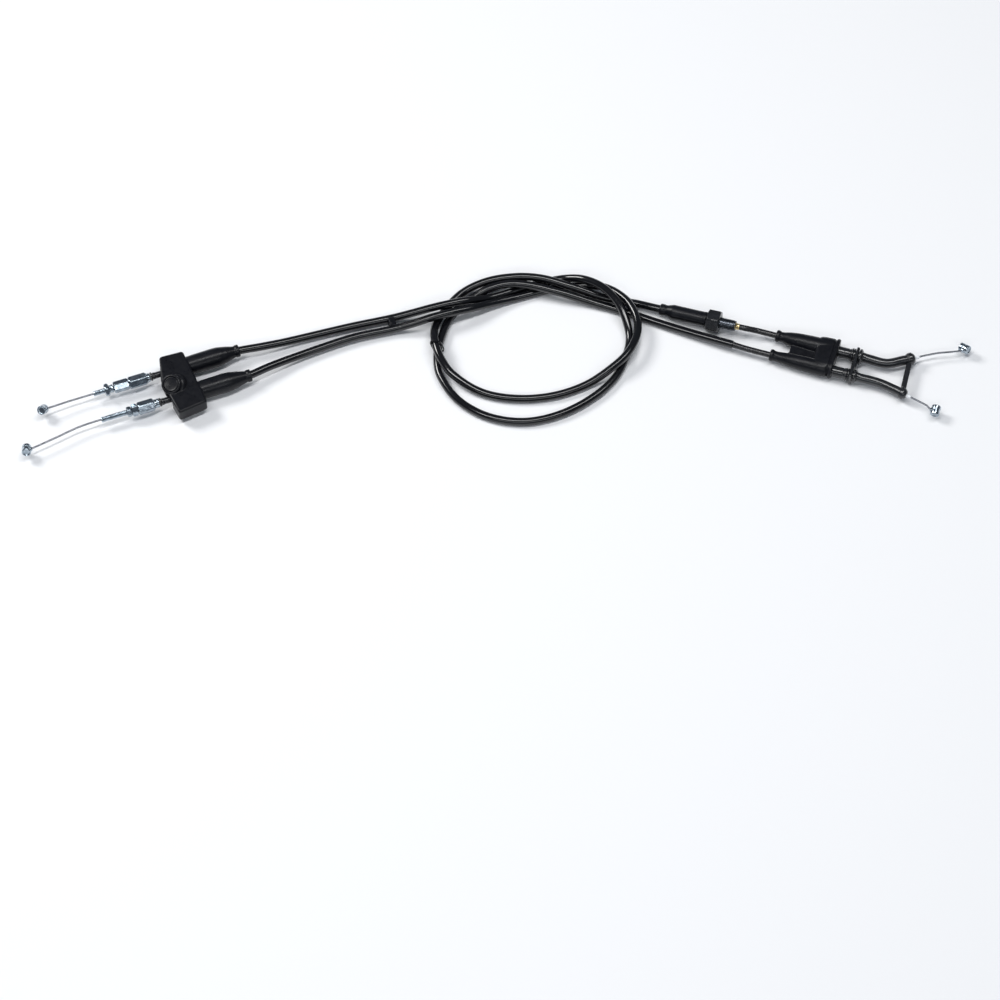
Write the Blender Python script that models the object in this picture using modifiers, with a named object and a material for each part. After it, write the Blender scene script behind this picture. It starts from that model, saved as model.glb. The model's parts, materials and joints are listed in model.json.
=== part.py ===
"""Twin push-pull throttle cable set: two covered cables with a dust cover, adjusters and a bent-tube bracket."""

import math

import bmesh
import bpy
from mathutils import Matrix, Vector

MM = 0.001
GAP = 0.3 * MM

# Throttle end. Both adjusters lie along THROTTLE_DIR, and places on them are distances along it.
THROTTLE_ANGLE = math.radians(20.2)
THROTTLE_DIR = Vector((math.cos(THROTTLE_ANGLE), math.sin(THROTTLE_ANGLE), 0.0))
RETURN_END = Vector((-258.1, -0.8, 8.5)) * MM
PULL_END = Vector((-250.2, -23.4, 8.5)) * MM
COVER_CENTRE = Vector((-233.7, -8.6, 8.5)) * MM
COVER_TOP = 7.2 * MM
COVER_REACH = 9.9 * MM
# Corners of the dust cover's block seen from above, in mm along and across THROTTLE_DIR from COVER_CENTRE.
COVER_CORNERS = ((-9.5, 26.0), (-14.5, 5.0), (-13.8, -1.5), (-10.2, -26.4), (12.0, -23.4), (8.4, 25.2))
COVER_BORE = 6.2 * MM
SLEEVE_RADIUS = 7.2 * MM

# Carburettor end. Both rear housings lie along CARB_DIR.
CARB_ANGLE = math.radians(-17.4)
CARB_DIR = Vector((math.cos(CARB_ANGLE), math.sin(CARB_ANGLE), 0.0))
CARB_SIDE = Vector((-math.sin(CARB_ANGLE), math.cos(CARB_ANGLE), 0.0))
CARB_SPACING = 18.1 * MM
PULL_CARB = Vector((203.2, 37.3, 7.0)) * MM
RETURN_CARB = PULL_CARB - CARB_SPACING * CARB_SIDE

# In-line adjuster of the pull cable, around the middle of its hex collar.
INLINE_CENTRE = Vector((156.9, 49.5, 8.3)) * MM
INLINE_DIR = Vector((0.950, -0.3069, 0.0588)).normalized()

# Round stock.
CABLE_RADIUS = 3.0 * MM
FRONT_RADIUS = 2.35 * MM
REAR_RADIUS = 2.2 * MM
WIRE_RADIUS = 0.75 * MM
WIRE_BORE = 1.15 * MM
BARREL_RADIUS = 3.4 * MM
BARREL_LENGTH = 7.5 * MM
PULL_TUBE_RADIUS = 3.6 * MM
RETURN_TUBE_RADIUS = 3.3 * MM
TUBE_BORE = 2.3 * MM
CABLE_POINTS = 66

# Wire runs outside the fittings, and the tails that stay inside them.
RETURN_WIRE_EXIT = -43.1 * MM
PULL_WIRE_EXIT = -43.8 * MM
THROTTLE_TAIL = 22.0 * MM
CARB_TAIL = 13.5 * MM
CARB_STRAIGHT = 16.2 * MM

# Mouths of the guide tubes, and the straight wire directions there.
PULL_MOUTH = Vector((304.6, 17.2, 7.0)) * MM
RETURN_MOUTH = Vector((296.4, -16.0, 7.0)) * MM
PULL_MOUTH_ANGLE = math.radians(14.5)
RETURN_MOUTH_ANGLE = math.radians(-32.0)
PULL_TUBE_BEND = Vector((283.3, 12.0, 7.0)) * MM
RETURN_TUBE_BEND = Vector((276.6, -4.0, 7.0)) * MM
TUBE_START = 66.2 * MM
TUBE_LEAD = 69.5 * MM
LINER_PROUD = 3.5 * MM

# The clip between the cables, around the middle of the two places it grips.
CLIP_CENTRES = (Vector((-81.3, 54.7, 4.6)) * MM, Vector((-81.3, 44.6, 4.6)) * MM)
CLIP_ANGLE = math.radians(12.0)
CLIP_SIZE = (5.6 * MM, 9.0 * MM, 6.6 * MM)

# How far a corner of the dust cover moves in for each millimetre that its sides do.
CORNER_DRAW = 1.2


def along(origin, direction, distance):
    return origin + direction * distance


def heading(angle):
    return Vector((math.cos(angle), math.sin(angle), 0.0))


def millimetres(points):
    return [Vector(point) * MM for point in points]


def throttle_run(end, places):
    return [along(end, THROTTLE_DIR, place * MM) for place in places]


def inline_run(places):
    return [along(INLINE_CENTRE, INLINE_DIR, place * MM) for place in places]


# Routes of the two covered cables, from the dust cover round the loop to the carburettor end.
RETURN_ROUTE = throttle_run(RETURN_END, (21, 36, 52, 67)) + millimetres((
    (-177, 27, 7.6), (-160, 32.5, 5.6), (-138, 39.5, 4.6), (-112, 47, 4.5),
    (-81.3, 54.7, 4.6), (-66.5, 57.5, 7.2), (-51.5, 60.2, 10.4), (-38.5, 63, 11.6),
    (-25, 67, 10.2), (-9, 73.3, 4.5), (10, 81, 3.1), (29, 87.5, 3.1),
    (47.5, 89.3, 6.8), (62, 84.8, 12), (76.5, 75.5, 13.6), (88, 61, 11.2),
    (94.5, 41.5, 5.4), (93.5, 27, 3.7), (85, 5, 3.1), (69, -13.5, 3.1),
    (44, -29.5, 3.1), (17, -36.5, 3.1), (-10, -32, 3.1), (-32, -17.5, 3.3),
    (-45, 3, 4.2), (-47.6, 19, 4.9), (-45.7, 33, 4.6), (-40, 52, 3.4),
    (-31, 66, 3.1), (-21, 74.2, 3.7), (-10, 79.5, 7.3), (5, 82, 10.2),
    (22, 80.5, 10.2), (42, 75.5, 8.9), (68, 69, 4.4), (94, 60.5, 3.1),
    (121.5, 49.2, 3.5), (146, 39, 5.2), (171, 29.1, 7),
))
PULL_ROUTE = throttle_run(PULL_END, (21, 36, 52, 68)) + millimetres((
    (-170.5, 9.2, 7.6), (-155, 17.8, 5.6), (-133, 28, 4.6), (-108.5, 37.6, 4.5),
    (-81.3, 44.6, 4.6), (-66.5, 47, 8.2), (-51.5, 50, 12.2), (-38.5, 54.2, 12.2),
    (-24, 59.5, 10), (-8, 67, 6.2), (10, 74, 3.3), (32.5, 80.7, 3.1),
    (55, 84.8, 3.6), (76.5, 81, 7.4), (92, 68, 10.4), (99.5, 53, 10.8),
    (100.5, 38, 10.6), (94, 21, 10.6), (82, 8, 8.9), (62, -4.5, 3.7),
    (37, -14, 3.1), (10, -16.2, 3.1), (-15, -11, 3.8), (-36, 2, 8),
    (-45.5, 16, 11), (-49.5, 31, 11.2), (-49, 47, 6.4), (-42.5, 62, 3.8),
    (-29, 78.5, 3.9), (-11, 86.2, 7.6), (11.5, 88.4, 10.4), (31, 86.5, 10.7),
    (52, 80.3, 8.9), (74, 74.9, 3.8), (89, 71.5, 3.1), (101, 68.2, 4.1),
)) + inline_run((-46, -30, -12))


def clear_scene():
    for obj in list(bpy.data.objects):
        bpy.data.objects.remove(obj, do_unlink=True)


def new_collection(name, hidden):
    collection = bpy.data.collections.new(name)
    bpy.context.scene.collection.children.link(collection)
    collection.hide_render = hidden
    return collection


def paint(obj, colour, roughness, metallic):
    material = bpy.data.materials.new(obj.name)
    material.use_nodes = True
    shader = material.node_tree.nodes["Principled BSDF"]
    shader.inputs["Base Color"].default_value = (*colour, 1.0)
    shader.inputs["Roughness"].default_value = roughness
    shader.inputs["Metallic"].default_value = metallic
    obj.data.materials.append(material)


RUBBER = ((0.012, 0.012, 0.014), 0.5, 0.0)
VINYL = ((0.010, 0.010, 0.012), 0.28, 0.0)
ZINC = ((0.55, 0.60, 0.66), 0.25, 1.0)
STEEL = ((0.30, 0.31, 0.34), 0.35, 1.0)
BRASS = ((0.62, 0.47, 0.20), 0.35, 1.0)
BLACK_STEEL = ((0.03, 0.03, 0.035), 0.35, 0.6)
LINER_WHITE = ((0.80, 0.82, 0.85), 0.4, 0.0)


def pointing(direction):
    """The rotation that turns +Z to the direction, with local +Y as high as it can be."""
    return direction.to_track_quat("Z", "Y").to_matrix().to_4x4()


def new_object(name, mesh, collection, finish=None, place=Matrix()):
    obj = bpy.data.objects.new(name, mesh)
    collection.objects.link(obj)
    obj.matrix_world = place
    if finish:
        paint(obj, *finish)
    return obj


def turned(name, outer, bore, origin, direction, collection, finish=None, steps=20):
    """A ring or, with no bore, a bar: outer and bore are (radius, place) pairs in mm, place rising along direction."""
    mesh = bpy.data.meshes.new(name)
    shape = bmesh.new()
    down = [(radius * MM, place * MM) for radius, place in reversed(outer)]
    if bore:
        up = [(radius * MM, place * MM) for radius, place in bore]
    else:
        up = [(0.0, outer[0][1] * MM), (0.0, outer[-1][1] * MM)]
    points = [shape.verts.new((radius, 0.0, place)) for radius, place in down + up]
    ring = zip(points, points[1:] + points[:1])
    for start, end in list(ring) if bore else list(ring)[:-2] + [(points[-1], points[0])]:
        shape.edges.new((start, end))
    shape.to_mesh(mesh)
    shape.free()
    obj = new_object(name, mesh, collection, finish, Matrix.Translation(origin) @ pointing(direction))
    screw = obj.modifiers.new("Screw", "SCREW")
    screw.axis = "Z"
    screw.angle = math.tau
    screw.steps = steps
    screw.render_steps = steps
    screw.use_merge_vertices = True
    screw.merge_threshold = 0.00001
    screw.use_smooth_shade = steps > 6
    return obj


def pipe(name, start, end, outer, inner, origin, direction, collection, finish, steps=20):
    """A straight ring of one outer and one inner radius, in mm."""
    profile = [(outer, start), (outer, end)]
    bore = [(inner, start), (inner, end)]
    return turned(name, profile, bore, origin, direction, collection, finish, steps)


def chamfered(radius, start, end, chamfer):
    return [(radius - chamfer, start), (radius, start + chamfer), (radius, end - chamfer), (radius - chamfer, end)]


def block(name, size, collection, finish=None, bevel=0.0, segments=3, place=Matrix()):
    mesh = bpy.data.meshes.new(name)
    shape = bmesh.new()
    bmesh.ops.create_cube(shape, size=1.0)
    bmesh.ops.scale(shape, vec=size, verts=shape.verts)
    shape.to_mesh(mesh)
    shape.free()
    obj = new_object(name, mesh, collection, finish, place)
    if bevel:
        rounding = obj.modifiers.new("Bevel", "BEVEL")
        rounding.width = bevel
        rounding.segments = segments
    return obj


def boolean(obj, other, operation):
    modifier = obj.modifiers.new(other.name, "BOOLEAN")
    modifier.operation = operation
    modifier.solver = "EXACT"
    modifier.object = other
    other.display_type = "WIRE"
    other.hide_render = True


def smooth_points(route, per_span=24):
    """Points of one smooth curve through the route, its tangents scaled to each span."""
    guides = [2 * route[0] - route[1]] + list(route) + [2 * route[-1] - route[-2]]
    points = []
    for before, start, end, after in zip(guides, guides[1:], guides[2:], guides[3:]):
        span = (end - start).length
        leave = (end - before) * span / (span + (start - before).length)
        arrive = (after - start) * span / (span + (after - end).length)
        for step in range(per_span):
            t = step / per_span
            points.append(
                (2 * t**3 - 3 * t**2 + 1) * start
                + (t**3 - 2 * t**2 + t) * leave
                + (3 * t**2 - 2 * t**3) * end
                + (t**3 - t**2) * arrive
            )
    return points + [route[-1]]


def evenly(points, count):
    """The same curve as count points, spaced evenly along it."""
    reached = [0.0]
    for start, end in zip(points, points[1:]):
        reached.append(reached[-1] + (end - start).length)
    result = []
    index = 0
    for step in range(count):
        wanted = reached[-1] * step / (count - 1)
        while index < len(points) - 2 and reached[index + 1] < wanted:
            index += 1
        share = (wanted - reached[index]) / (reached[index + 1] - reached[index])
        result.append(points[index].lerp(points[index + 1], share))
    return result


def rod(name, points, radius, collection, finish=None, resolution=2, caps=True):
    """A round bar that follows the points."""
    curve = bpy.data.curves.new(name, "CURVE")
    curve.dimensions = "3D"
    curve.bevel_depth = radius
    curve.bevel_resolution = resolution
    curve.use_fill_caps = caps
    spline = curve.splines.new("POLY")
    spline.points.add(len(points) - 1)
    for target, point in zip(spline.points, points):
        target.co = (*point, 1.0)
    obj = bpy.data.objects.new(name, curve)
    collection.objects.link(obj)
    if finish:
        paint(obj, *finish)
    return obj


def as_mesh(obj, collection, finish=None):
    """The curve object as a mesh object of the same name."""
    graph = bpy.context.evaluated_depsgraph_get()
    mesh = bpy.data.meshes.new_from_object(obj.evaluated_get(graph))
    shape = bmesh.new()
    shape.from_mesh(mesh)
    bmesh.ops.remove_doubles(shape, verts=shape.verts, dist=0.00001)
    shape.to_mesh(mesh)
    shape.free()
    mesh.materials.clear()
    name = obj.name
    place = obj.matrix_world.copy()
    bpy.data.objects.remove(obj, do_unlink=True)
    return new_object(name, mesh, collection, finish, place)


def make_barrel(name, centre, axis, parts):
    half = BARREL_LENGTH / MM / 2
    radius = BARREL_RADIUS / MM
    turned(name, chamfered(radius, -half, half, 0.4), None, centre, axis, parts, ZINC, 24)


def make_wire(name, inner_end, bend, barrel_side, parts):
    """Straight from the tail inside a fitting to the bend, then on to the barrel."""
    straight = [inner_end, inner_end.lerp(bend, 0.5), bend]
    curve = smooth_points([inner_end, bend, bend.lerp(barrel_side, 0.5), barrel_side], 4)
    tail = [point for point in curve if (point - inner_end).length > (bend - inner_end).length]
    rod(name, straight + tail, WIRE_RADIUS, parts, STEEL, resolution=1)


def throttle_wires(parts):
    barrel = Vector((-334.6, -29.4, 8.5)) * MM
    axis = Vector((-0.20, -0.68, 0.70)).normalized()
    make_barrel("return_throttle_barrel", barrel, axis, parts)
    tail = along(RETURN_END, THROTTLE_DIR, RETURN_WIRE_EXIT + THROTTLE_TAIL)
    bend = along(RETURN_END, THROTTLE_DIR, RETURN_WIRE_EXIT - 16 * MM)
    side = barrel + Vector((BARREL_RADIUS + 1.0 * MM, 0.3 * MM, 0.0))
    make_wire("return_throttle_wire", tail, bend, side, parts)

    barrel = Vector((-343.9, -64.3, 8.5)) * MM
    axis = Vector((0.08, -0.93, 0.36)).normalized()
    make_barrel("pull_throttle_barrel", barrel, axis, parts)
    tail = along(PULL_END, THROTTLE_DIR, PULL_WIRE_EXIT + THROTTLE_TAIL)
    bend = along(PULL_END, THROTTLE_DIR, PULL_WIRE_EXIT - 14 * MM)
    side = barrel + Vector((BARREL_RADIUS + GAP, 1.2 * MM, 0.0))
    make_wire("pull_throttle_wire", tail, bend, side, parts)


def ferrule_and_housing(side, end, parts):
    bore = WIRE_BORE / MM
    pipe(f"{side}_end_ferrule", 0.3, 1.8, 3.25, bore, end, THROTTLE_DIR, parts, BLACK_STEEL)
    radius = FRONT_RADIUS / MM
    pipe(f"{side}_front_housing", 2.1, 20.7, radius, bore, end, THROTTLE_DIR, parts, RUBBER)


def return_adjuster(parts):
    bore = WIRE_BORE / MM
    place = (RETURN_END, THROTTLE_DIR, parts, ZINC)
    pipe("return_adjuster_stem", -43.1, -4.0, 2.0, bore, *place, 16)
    hex_bore = [(2.75, -34.6), (2.75, -31.4)]
    turned("return_jam_nut", chamfered(5.0, -34.6, -31.4, 0.5), hex_bore, *place, 6)
    pipe("return_thin_nut", -31.0, -28.3, 3.1, 2.3, *place, 16)
    hex_bore = [(2.75, -27.7), (2.75, -16.4)]
    turned("return_adjuster_hex", chamfered(4.5, -27.7, -16.4, 0.5), hex_bore, *place, 6)
    outer = chamfered(5.0, -16.1, -2.6, 0.5) + [(4.0, -2.6), (4.0, 0.0)]
    turned("return_adjuster_body", outer, [(2.75, -16.1), (2.75, 0.0)], *place, 6)
    ferrule_and_housing("return", RETURN_END, parts)


def pull_adjuster(parts):
    bore = WIRE_BORE / MM
    place = (PULL_END, THROTTLE_DIR, parts, ZINC)
    pipe("pull_adjuster_stem", -43.8, -4.0, 2.15, bore, *place, 16)
    hex_bore = [(2.9, -24.5), (2.9, -21.0)]
    turned("pull_jam_nut", chamfered(3.9, -24.5, -21.0, 0.4), hex_bore, *place, 6)
    hex_bore = [(2.9, -20.7), (2.9, -16.5)]
    turned("pull_thin_nut", chamfered(4.7, -20.7, -16.5, 0.5), hex_bore, *place, 6)
    hex_bore = [(2.9, -16.2), (2.9, -3.9)]
    turned("pull_adjuster_hex", chamfered(5.0, -16.2, -3.9, 0.6), hex_bore, *place, 6)
    pipe("pull_end_nut", -3.6, 0.0, 3.4, 2.45, *place, 16)
    ferrule_and_housing("pull", PULL_END, parts)


def sleeve_shell(side, end, tip, cover_face, parts, cutters):
    """The outer shape and the bore of one tapering sleeve of the dust cover."""
    wide = SLEEVE_RADIUS / MM
    shoulder = cover_face + 0.6 * (tip - cover_face)
    outer = [
        (wide + 0.6, cover_face - 2), (wide + 0.6, cover_face + 1.5), (wide, cover_face + 3.5),
        (wide, shoulder), (5.4, shoulder + 7), (4.1, tip - 4), (4.7, tip - 3), (4.7, tip),
    ]
    solid = turned(f"{side}_sleeve_solid", outer, None, end, THROTTLE_DIR, cutters)
    bore_radius = COVER_BORE / MM
    bore = [
        (bore_radius, cover_face - 30), (bore_radius, cover_face - 1), (5.8, cover_face + 1),
        (5.8, shoulder - 1), (3.7, shoulder + 6), (3.4, tip - 4), (3.4, tip + 3),
    ]
    cutter = turned(f"{side}_sleeve_bore", bore, None, end, THROTTLE_DIR, cutters)
    return solid, cutter


def cover_block(parts):
    """The dust cover's block: its corners drawn in at the bottom and rounded over at the top."""
    shape = bmesh.new()
    middle = sum((Vector(corner) for corner in COVER_CORNERS), Vector((0.0, 0.0))) / len(COVER_CORNERS)
    top = COVER_TOP / MM
    loops = []
    for inset, height in ((3.2, -COVER_CENTRE.z / MM), (0.0, -3.5), (0.0, top - 1.2), (1.2, top)):
        loop = []
        for corner in COVER_CORNERS:
            outward = Vector(corner) - middle
            reach = (outward.length - inset * CORNER_DRAW) / outward.length
            x, y = middle + outward * reach
            loop.append(shape.verts.new(Vector((x, y, height)) * MM))
        loops.append(loop)
    shape.faces.new(loops[0])
    shape.faces.new(loops[-1])
    for lower, upper in zip(loops, loops[1:]):
        for index in range(len(lower)):
            after = (index + 1) % len(lower)
            shape.faces.new((lower[index], lower[after], upper[after], upper[index]))
    bmesh.ops.recalc_face_normals(shape, faces=shape.faces)
    mesh = bpy.data.meshes.new("dust_cover")
    shape.to_mesh(mesh)
    shape.free()
    place = Matrix.Translation(COVER_CENTRE) @ Matrix.Rotation(THROTTLE_ANGLE, 4, "Z")
    return new_object("dust_cover", mesh, parts, RUBBER, place)


def dust_cover(parts, cutters):
    turn = Matrix.Rotation(THROTTLE_ANGLE, 4, "Z")
    cover = cover_block(parts)
    face = (COVER_CENTRE - RETURN_END).dot(THROTTLE_DIR) / MM + COVER_REACH / MM
    lag = (RETURN_END - PULL_END).dot(THROTTLE_DIR) / MM
    return_shapes = sleeve_shell("return", RETURN_END, 68.7, face, parts, cutters)
    pull_shapes = sleeve_shell("pull", PULL_END, 70.5, face + lag, parts, cutters)
    boss_centre = COVER_CENTRE + turn @ (Vector((-8.0, -1.5, 7.6)) * MM)
    boss_axis = turn @ Vector((-0.34, -0.30, 0.89)).normalized()
    boss_outer = [(8.2, -5.0), (7.9, 0.6), (7.0, 2.6), (6.5, 3.0)]
    boss = turned("cover_boss", boss_outer, None, boss_centre, boss_axis, cutters)
    recess = turned("cover_recess", [(5.9, 1.4), (5.9, 6.0)], None, boss_centre, boss_axis, cutters)
    for solid in (return_shapes[0], pull_shapes[0], boss):
        boolean(cover, solid, "UNION")
    for cutter in (return_shapes[1], pull_shapes[1], recess):
        boolean(cover, cutter, "DIFFERENCE")
    plug = [(5.5, 1.7), (5.5, 2.9), (5.0, 3.3)]
    turned("dust_cover_plug", plug, None, boss_centre, boss_axis, parts, RUBBER)


def cable_housings(parts):
    for name, route in (("return_housing", RETURN_ROUTE), ("pull_housing", PULL_ROUTE)):
        rod(name, evenly(smooth_points(route), CABLE_POINTS), CABLE_RADIUS, parts, VINYL)


def cable_clip(parts, cutters):
    """A block between the two cables, hollowed on both sides so that it grips them."""
    place = Matrix.Translation((CLIP_CENTRES[0] + CLIP_CENTRES[1]) / 2) @ Matrix.Rotation(CLIP_ANGLE, 4, "Z")
    clip = block("cable_clip", CLIP_SIZE, parts, RUBBER, place=place)
    for side, centre in zip(("return", "pull"), CLIP_CENTRES):
        hole = turned(f"{side}_clip_hole", [(3.7, -6.0), (3.7, 6.0)], None, centre, heading(CLIP_ANGLE), cutters)
        boolean(clip, hole, "DIFFERENCE")


def loop_tie(parts):
    """A band around both cables where the loop closes, one cable above the other."""
    centre = Vector((-47.6, 27.0, 8.15)) * MM
    half_rise = 3.1 * MM
    radius = 4.3 * MM
    lean = -0.25
    turns = 14
    points = []
    for step in range(turns + 1):
        angle = math.pi * step / turns
        points.append(Vector((radius * math.cos(angle), 0.0, half_rise + radius * math.sin(angle))))
    points += [Vector((-point.x, 0.0, -point.z)) for point in points]
    points = [centre + point + Vector((lean * point.z, 0.0, 0.0)) for point in points]
    curve = rod("loop_tie", points, 0.5 * MM, parts, RUBBER)
    curve.data.splines[0].use_cyclic_u = True


def inline_adjuster(parts):
    place = (INLINE_CENTRE, INLINE_DIR, parts)
    outer = [(4.3, -40.9), (4.3, -35.8), (5.4, -31.7), (5.4, -6.0), (5.0, -4.7)]
    bore = [(3.35, -40.9), (3.35, -34.0), (4.4, -31.0), (4.4, -4.7)]
    turned("inline_boot", outer, bore, *place, RUBBER, 24)
    outer = chamfered(9.0, -4.3, 5.4, 0.7)
    turned("inline_collar", outer, [(5.1, -4.3), (5.1, 5.4)], *place, BLACK_STEEL, 6)
    pipe("inline_sleeve", -4.2, 17.3, 4.0, 2.85, *place, STEEL, 24)
    pipe("inline_stem", -3.0, 20.3, 2.5, WIRE_BORE / MM, *place, BRASS, 16)


def rear_housings(parts):
    start = along(INLINE_CENTRE, INLINE_DIR, 20.6 * MM)
    lead = along(INLINE_CENTRE, INLINE_DIR, 24.0 * MM)
    joins = [along(PULL_CARB, CARB_DIR, place * MM) for place in (-14.0, -11.0, 10.0, 30.0, 56.5)]
    bent = evenly(smooth_points([start, lead] + joins[:2]), 8)
    rod("pull_rear_housing", bent + joins[2:], REAR_RADIUS, parts, RUBBER, resolution=3)
    start = RETURN_ROUTE[-1] + (RETURN_ROUTE[-1] - RETURN_ROUTE[-2]).normalized() * GAP
    joins = [along(RETURN_CARB, CARB_DIR, place * MM) for place in (-16.0, 10.0, 30.0, 56.5)]
    rod("return_rear_housing", [start] + joins, REAR_RADIUS, parts, RUBBER, resolution=3)


def carb_boot(parts, cutters):
    """Two tapering legs joined by a web, a band and a lip."""
    turn = Matrix.Rotation(CARB_ANGLE, 4, "Z")
    middle = (PULL_CARB + RETURN_CARB) / 2

    def at(place, across=0.0):
        return Matrix.Translation(along(middle, CARB_DIR, place * MM) + across * MM * CARB_SIDE) @ turn

    spacing = CARB_SPACING / MM
    lip_size = (3.6 * MM, (spacing + 14.2) * MM, 14.0 * MM)
    boot = block("carb_boot", lip_size, parts, RUBBER, bevel=1.6 * MM, segments=2, place=at(45.8, 1.4))
    band_size = (13.4 * MM, (spacing + 12.8) * MM, 13.0 * MM)
    band = block("boot_band", band_size, cutters, bevel=2.2 * MM, segments=2, place=at(38.2, 1.2))
    web = block("boot_web", (20.0 * MM, spacing * MM, 4.0 * MM), cutters, place=at(23.0))
    boolean(boot, band, "UNION")
    boolean(boot, web, "UNION")
    shapes = []
    for side, start, wide in (("pull", PULL_CARB, 6.7), ("return", RETURN_CARB, 6.0)):
        outer = [(4.5, 0.0), (4.5, 3.0), (3.75, 3.8), (3.75, 6.0), (wide - 0.8, 14.0), (wide, 34.0), (wide, 40.0)]
        shapes.append(turned(f"{side}_boot_leg", outer, None, start, CARB_DIR, cutters))
        boolean(boot, shapes[-1], "UNION")
    for side, start in (("pull", PULL_CARB), ("return", RETURN_CARB)):
        bore = [(2.55, -3.0), (2.55, 7.0), (3.6, 14.0), (4.4, 34.0), (4.4, 52.0)]
        boolean(boot, turned(f"{side}_boot_bore", bore, None, start, CARB_DIR, cutters), "DIFFERENCE")


def tube_fittings(parts, cutters):
    """The sockets, nuts and flanges that hold the guide tubes on their bracket."""
    for side, start, flange, ring in (("pull", PULL_CARB, 5.2, 5.9), ("return", RETURN_CARB, 4.8, 5.0)):
        outer = [(4.1, 46.4), (4.1, 57.4), (flange, 57.5), (flange, 60.2), (3.6, 60.3), (3.6, 65.6)]
        bore = [(2.55, 46.4), (2.55, 65.6)]
        turned(f"{side}_tube_socket", outer, bore, start, CARB_DIR, parts, BLACK_STEEL, 24)
        nut = chamfered(ring, 63.1, 65.9, 0.4)
        turned(f"{side}_tube_nut", nut, [(3.9, 63.1), (3.9, 65.9)], start, CARB_DIR, parts, BLACK_STEEL, 24)
    place = Matrix.Translation(along((PULL_CARB + RETURN_CARB) / 2, CARB_DIR, 61.65 * MM))
    place = place @ Matrix.Rotation(CARB_ANGLE, 4, "Z")
    size = (2.3 * MM, CARB_SPACING + 9.4 * MM, 11.0 * MM)
    plate = block("tube_bracket", size, parts, BLACK_STEEL, place=place)
    for side, start in (("pull", PULL_CARB), ("return", RETURN_CARB)):
        hole = turned(f"{side}_bracket_hole", [(3.9, 58.0), (3.9, 66.0)], None, start, CARB_DIR, cutters)
        boolean(plate, hole, "DIFFERENCE")


def guide_tube(side, fitting, bend, mouth, angle, radius, parts):
    """A bent tube from its fitting to its mouth, with a straight last stretch."""
    last = [along(mouth, heading(angle), place * MM) for place in (-13.0, -6.0, 0.0)]
    route = [along(fitting, CARB_DIR, TUBE_START), along(fitting, CARB_DIR, TUBE_LEAD), bend] + last
    points = evenly(smooth_points(route), 12)
    open_tube = rod(f"{side}_guide_tube", points, radius, parts, resolution=3, caps=False)
    tube = as_mesh(open_tube, parts, BLACK_STEEL)
    wall = tube.modifiers.new("Wall", "SOLIDIFY")
    wall.thickness = radius - TUBE_BORE
    wall.offset = -1.0
    wall.use_even_offset = True


def guide_tubes(parts):
    guide_tube("pull", PULL_CARB, PULL_TUBE_BEND, PULL_MOUTH, PULL_MOUTH_ANGLE, PULL_TUBE_RADIUS, parts)
    guide_tube("return", RETURN_CARB, RETURN_TUBE_BEND, RETURN_MOUTH, RETURN_MOUTH_ANGLE, RETURN_TUBE_RADIUS, parts)


def mouth_link(parts, cutters):
    """A bar with a ring round each guide tube's mouth."""
    ring_places = []
    for mouth, angle in ((PULL_MOUTH, PULL_MOUTH_ANGLE), (RETURN_MOUTH, RETURN_MOUTH_ANGLE)):
        ring_places.append((along(mouth, heading(angle), -3.0 * MM), heading(angle)))
    span = ring_places[1][0] - ring_places[0][0]
    centre = (ring_places[0][0] + ring_places[1][0]) / 2
    turn = Matrix.Rotation(math.atan2(span.y, span.x), 4, "Z")
    size = (span.length - 8.2 * MM, 3.4 * MM, 3.2 * MM)
    link = block("mouth_link", size, parts, BLACK_STEEL, place=Matrix.Translation(centre) @ turn)
    radii = ((5.2, 4.0), (4.8, 3.7))
    for (middle, direction), (outer, _) in zip(ring_places, radii):
        ring = turned("link_ring", chamfered(outer, -3.5, 3.0, 0.6), None, middle, direction, cutters, steps=22)
        boolean(link, ring, "UNION")
    for (middle, direction), (_, inner) in zip(ring_places, radii):
        hole = turned("link_hole", [(inner, -5.0), (inner, 5.0)], None, middle, direction, cutters)
        boolean(link, hole, "DIFFERENCE")


def carb_wires(parts):
    """The liners that stand out of the guide tubes, and the wires and barrels beyond them."""
    ends = (
        ("pull", PULL_MOUTH, PULL_MOUTH_ANGLE, Vector((341.9, 25.7, 7.0)) * MM, Vector((0.75, -0.62, 0.235))),
        ("return", RETURN_MOUTH, RETURN_MOUTH_ANGLE, Vector((316.6, -29.4, 7.0)) * MM, Vector((-0.28, -0.93, -0.2))),
    )
    for side, mouth, angle, barrel, axis in ends:
        outward = heading(angle)
        pipe(f"{side}_tube_liner", -5.0, 3.5, 1.35, 1.0, mouth, outward, parts, LINER_WHITE, 12)
        make_barrel(f"{side}_carb_barrel", barrel, axis.normalized(), parts)
        tail = along(mouth, outward, LINER_PROUD - CARB_TAIL)
        bend = along(mouth, outward, CARB_STRAIGHT)
        side_point = barrel - (barrel - mouth).normalized() * (BARREL_RADIUS + 1.2 * MM)
        make_wire(f"{side}_carb_wire", tail, bend, side_point, parts)


def main():
    clear_scene()
    parts = new_collection("twin_throttle_cable", False)
    cutters = new_collection("cutters", True)
    throttle_wires(parts)
    return_adjuster(parts)
    pull_adjuster(parts)
    dust_cover(parts, cutters)
    cable_housings(parts)
    cable_clip(parts, cutters)
    loop_tie(parts)
    inline_adjuster(parts)
    rear_housings(parts)
    carb_boot(parts, cutters)
    tube_fittings(parts, cutters)
    guide_tubes(parts)
    mouth_link(parts, cutters)
    carb_wires(parts)


main()
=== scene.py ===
"""The looks of the twin throttle cable set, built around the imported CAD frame."""

import json
import math

import bmesh
import bpy
from mathutils import Matrix, Vector


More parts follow.
